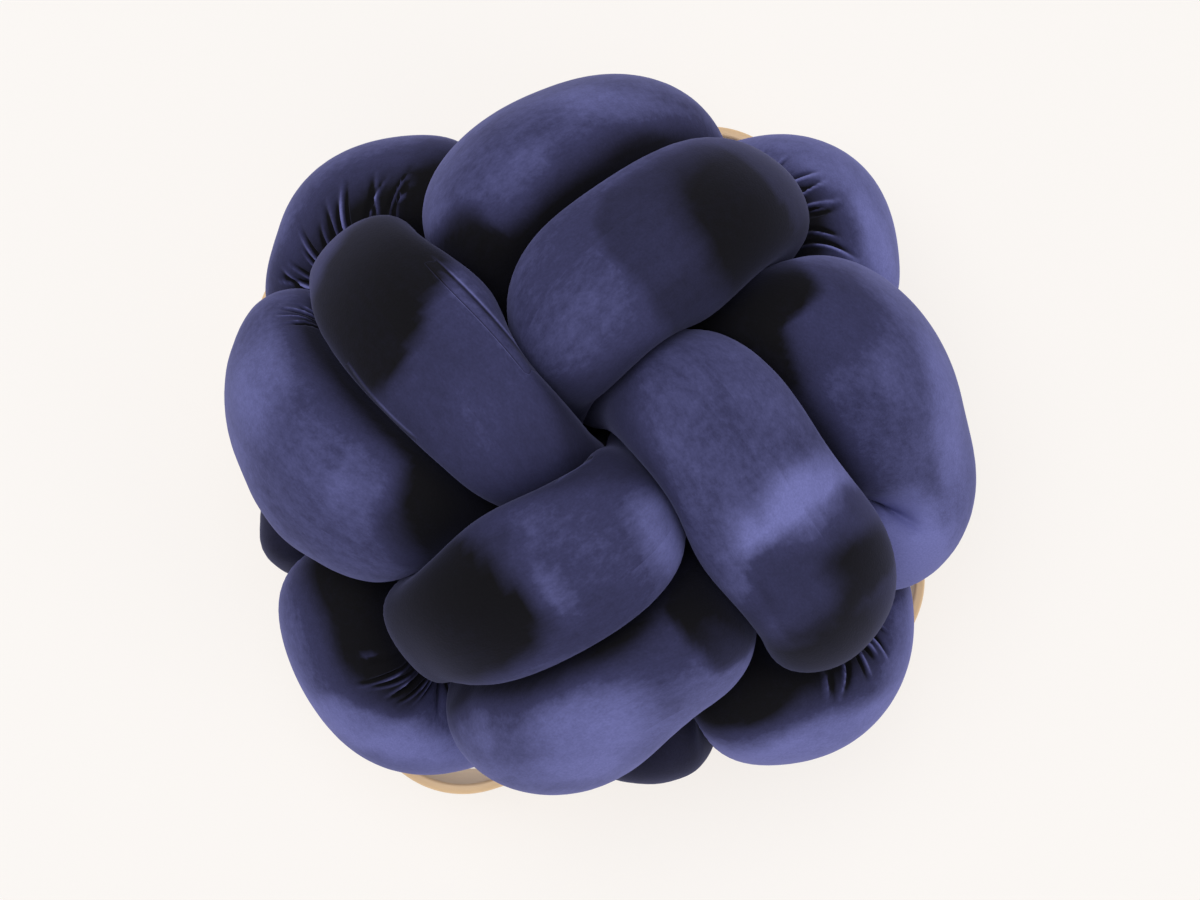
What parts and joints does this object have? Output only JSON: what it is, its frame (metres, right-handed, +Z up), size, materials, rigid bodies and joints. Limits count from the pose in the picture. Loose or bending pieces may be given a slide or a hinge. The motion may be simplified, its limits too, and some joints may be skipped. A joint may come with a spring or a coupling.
{
  "type": "knot cushion in a bentwood base band",
  "caption": "Round floor cushion knotted from fat filled velvet tubes, nested in a thin rounded-square band of pale bentwood that it stands in.",
  "frame": {"origin": "on the floor, under the middle of the cushion's box; the knot's axis and the middle of the band stand 6 mm from it, towards -X", "axes": "+Z up along the knot's axis; the sides of the rounded-square band are turned 17.6 degrees from X and Y"},
  "size_m": [0.5064, 0.4942, 0.3142],
  "materials": {
    "velvet": "short pile velvet, matt with a soft sheen at grazing angles",
    "wood": "clear satin on pale bentwood"
  },
  "bodies": {
    "root": {"knot_tube_inner": "velvet", "knot_tube_outer": "velvet", "wood_band": "wood"}
  },
  "joints": []
}
